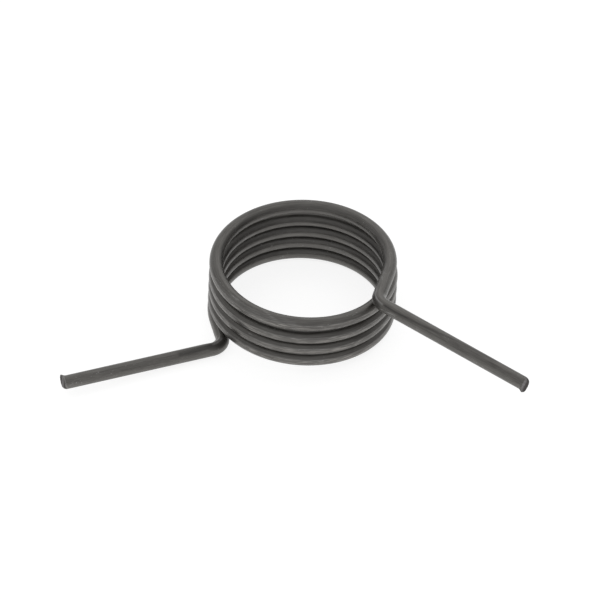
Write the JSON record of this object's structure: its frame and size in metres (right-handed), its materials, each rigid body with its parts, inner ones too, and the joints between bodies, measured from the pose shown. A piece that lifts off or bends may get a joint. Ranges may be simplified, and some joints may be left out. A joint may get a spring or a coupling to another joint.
{
  "type": "torsion spring",
  "caption": "Close-wound coil of round spring wire with both ends bent out as straight legs, for turning a lever, lid or pawl back about a shaft.",
  "frame": {"origin": "on the coil's axis, in the plane that the underside of the bottom leg lies in", "axes": "+Z along the coil's axis, towards the end that the top leg leaves from; +X across the open angle between the legs, which both point towards -Y"},
  "size_m": [0.1001, 0.0599, 0.0181],
  "materials": {
    "spring_steel": "dark grey-brown drawn spring steel, satin, with fine drawing lines along the wire"
  },
  "bodies": {
    "root": {"torsion_spring": "spring_steel"}
  },
  "joints": []
}
